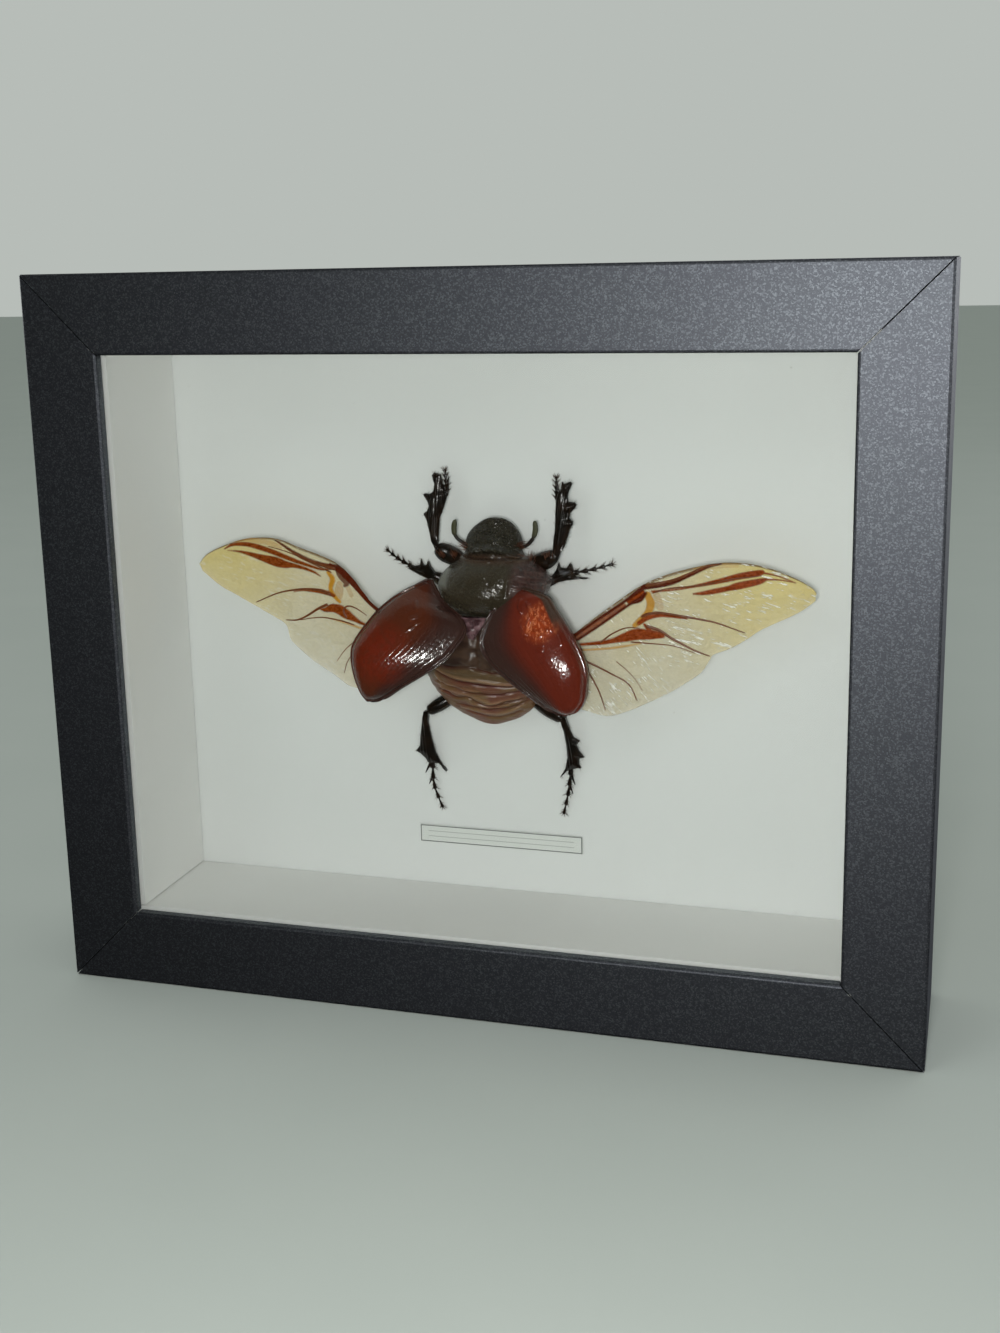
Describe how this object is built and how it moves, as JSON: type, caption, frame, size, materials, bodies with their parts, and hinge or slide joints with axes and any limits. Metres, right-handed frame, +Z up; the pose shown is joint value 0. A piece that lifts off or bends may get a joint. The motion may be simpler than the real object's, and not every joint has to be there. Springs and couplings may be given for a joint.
{
  "type": "framed dung beetle",
  "caption": "Deep black shadow box with glass front, white lining and a large dung beetle mounted inside with wings spread.",
  "frame": {"origin": "centre of the back panel, on the plane of the wall that the frame hangs on", "axes": "+Z up, -Y out of the wall towards the viewer, +X to the viewer's right"},
  "size_m": [0.22, 0.043, 0.183],
  "materials": {
    "frame_foil": "wood moulding wrapped in black foil with a fine sparkling grain, satin",
    "hanger_steel": "zinc plated",
    "glass": "clear float glass",
    "white_board": "matte white mount board",
    "hardboard": "brown hardboard, smooth side out",
    "white_liner": "matte white lining strip",
    "label_paper": "printed border and plain ruled lines",
    "dark_cuticle": "insect cuticle, blackish, finely granular with a low gloss",
    "abdomen_cuticle": "insect cuticle, brown to pinkish tan, softly glossy in bands",
    "wing_case": "insect cuticle, deep red-brown, high gloss with fine grooves",
    "wing_membrane": "thin translucent wing membrane, straw yellow with red-brown veins",
    "leg_cuticle": "insect cuticle, black-brown, glossy, bristly"
  },
  "bodies": {
    "root": {"frame_rail_top": "frame_foil", "frame_rail_bottom": "frame_foil", "frame_rail_right": "frame_foil", "frame_rail_left": "frame_foil", "hanger_plate": "hanger_steel", "glass_pane": "glass", "mount_board": "white_board", "back_panel": "hardboard", "liner_top": "white_liner", "liner_bottom": "white_liner", "liner_right": "white_liner", "liner_left": "white_liner", "label_slip": "label_paper", "head": "dark_cuticle", "pronotum": "dark_cuticle", "hind_body": "abdomen_cuticle", "scutellum": "abdomen_cuticle", "elytron_left": "wing_case", "elytron_right": "wing_case", "hindwing_left": "wing_membrane", "hindwing_right": "wing_membrane", "foreleg_left": "leg_cuticle", "foreleg_right": "leg_cuticle", "midleg_left": "leg_cuticle", "midleg_right": "leg_cuticle", "hindleg_left": "leg_cuticle", "hindleg_right": "leg_cuticle", "antenna_left": "leg_cuticle", "antenna_right": "leg_cuticle"}
  },
  "joints": []
}
